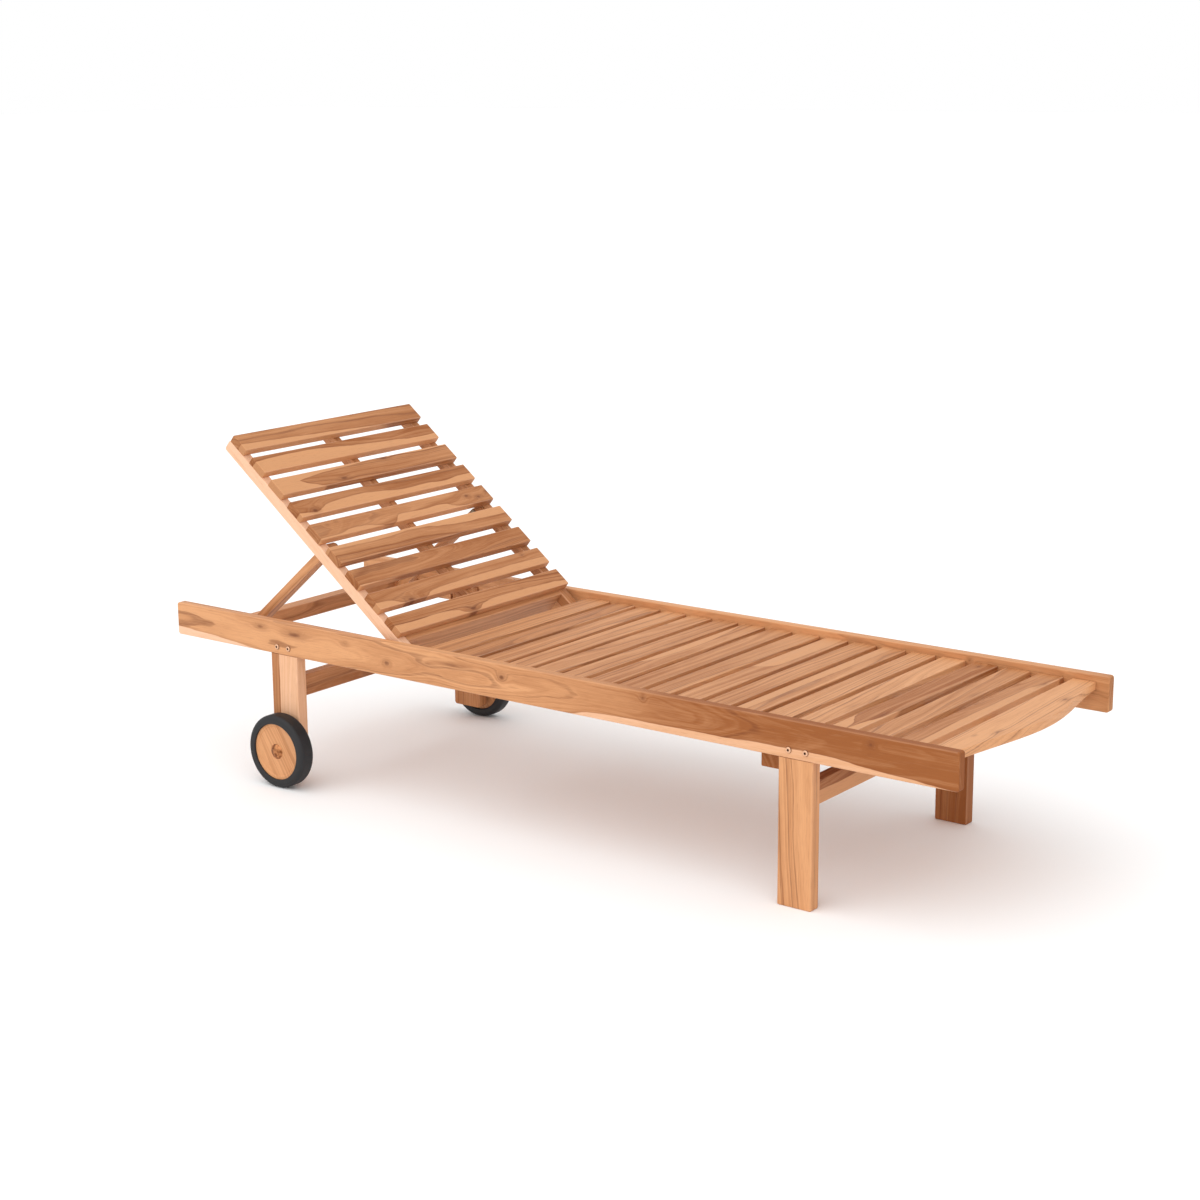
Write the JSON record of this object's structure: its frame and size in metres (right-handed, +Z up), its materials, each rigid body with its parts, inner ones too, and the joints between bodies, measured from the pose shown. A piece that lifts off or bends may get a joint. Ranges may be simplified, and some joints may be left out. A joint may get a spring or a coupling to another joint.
{
  "type": "reclining sun lounger",
  "caption": "Slatted wooden sun lounger with a hinged back on a notched prop, four square legs and two wheels at the head end.",
  "frame": {"origin": "on the ground, at the middle of the lounger's length and width", "axes": "+X towards the foot end, -Y the sitter's right side (lying on the back), +Z up"},
  "size_m": [2.0096, 0.737, 0.7624],
  "materials": {
    "teak": "satin",
    "teak_disc": "satin",
    "tyre": "matte",
    "bronze": "satin",
    "steel": "satin"
  },
  "bodies": {
    "frame": {"side_rail_right": "teak", "side_rail_left": "teak", "front_leg_right": "teak", "front_leg_left": "teak", "rear_leg_right": "teak", "rear_leg_left": "teak", "front_stretcher": "teak", "rear_stretcher": "teak", "seat_bearer": "teak", "seat_head_rail": "teak", "seat_centre_batten": "teak", "seat_ledger_right": "teak", "seat_ledger_left": "teak", "prop_rack_right": "teak", "prop_rack_left": "teak", "seat_slat_01": "teak", "seat_slat_02": "teak", "seat_slat_03": "teak", "seat_slat_04": "teak", "seat_slat_05": "teak", "seat_slat_06": "teak", "seat_slat_07": "teak", "seat_slat_08": "teak", "seat_slat_09": "teak", "seat_slat_10": "teak", "seat_slat_11": "teak", "seat_slat_12": "teak", "seat_slat_13": "teak", "seat_slat_14": "teak", "seat_slat_15": "teak", "seat_slat_16": "teak", "seat_slat_17": "teak", "foot_slat": "teak", "leg_screws": "bronze", "axle_bolts": "steel", "back_pivot_pins": "steel", "back_pivot_spacers": "steel"},
    "backrest": {"back_slat_1": "teak", "back_slat_2": "teak", "back_slat_3": "teak", "back_slat_4": "teak", "back_slat_5": "teak", "back_slat_6": "teak", "back_slat_7": "teak", "back_slat_8": "teak", "back_slat_9": "teak", "back_stile_right": "teak", "back_stile_left": "teak", "back_centre_batten": "teak", "back_bottom_rail": "teak", "prop_pivot_pins": "steel"},
    "prop": {"prop_leg_right": "teak", "prop_leg_left": "teak", "prop_crossbar": "teak"},
    "wheel_right": {"wheel_disc_right": "teak_disc", "tyre_right": "tyre", "hub_cap_right": "bronze"},
    "wheel_left": {"wheel_disc_left": "teak_disc", "tyre_left": "tyre", "hub_cap_left": "bronze"}
  },
  "joints": [
    {"name": "back_recline", "type": "hinge", "parent": "frame", "child": "backrest", "pos_m": [-0.32215, 0, 0.3225], "axis": [0, 1, 0], "range_deg": [-38.36, 14]},
    {"name": "prop_swing", "type": "hinge", "parent": "backrest", "child": "prop", "pos_m": [-0.58671, 0, 0.53189], "axis": [0, 1, 0], "range_deg": [-26, 70]},
    {"name": "wheel_right_spin", "type": "hinge", "parent": "frame", "child": "wheel_right", "pos_m": [-0.66375, -0.345, 0.0825], "axis": [0, 1, 0], "continuous": true},
    {"name": "wheel_left_spin", "type": "hinge", "parent": "frame", "child": "wheel_left", "pos_m": [-0.66375, 0.345, 0.0825], "axis": [0, 1, 0], "continuous": true}
  ],
  "couplings": [
    {"joint": "prop_swing", "follows": "back_recline", "ratio": -1.8134}
  ]
}
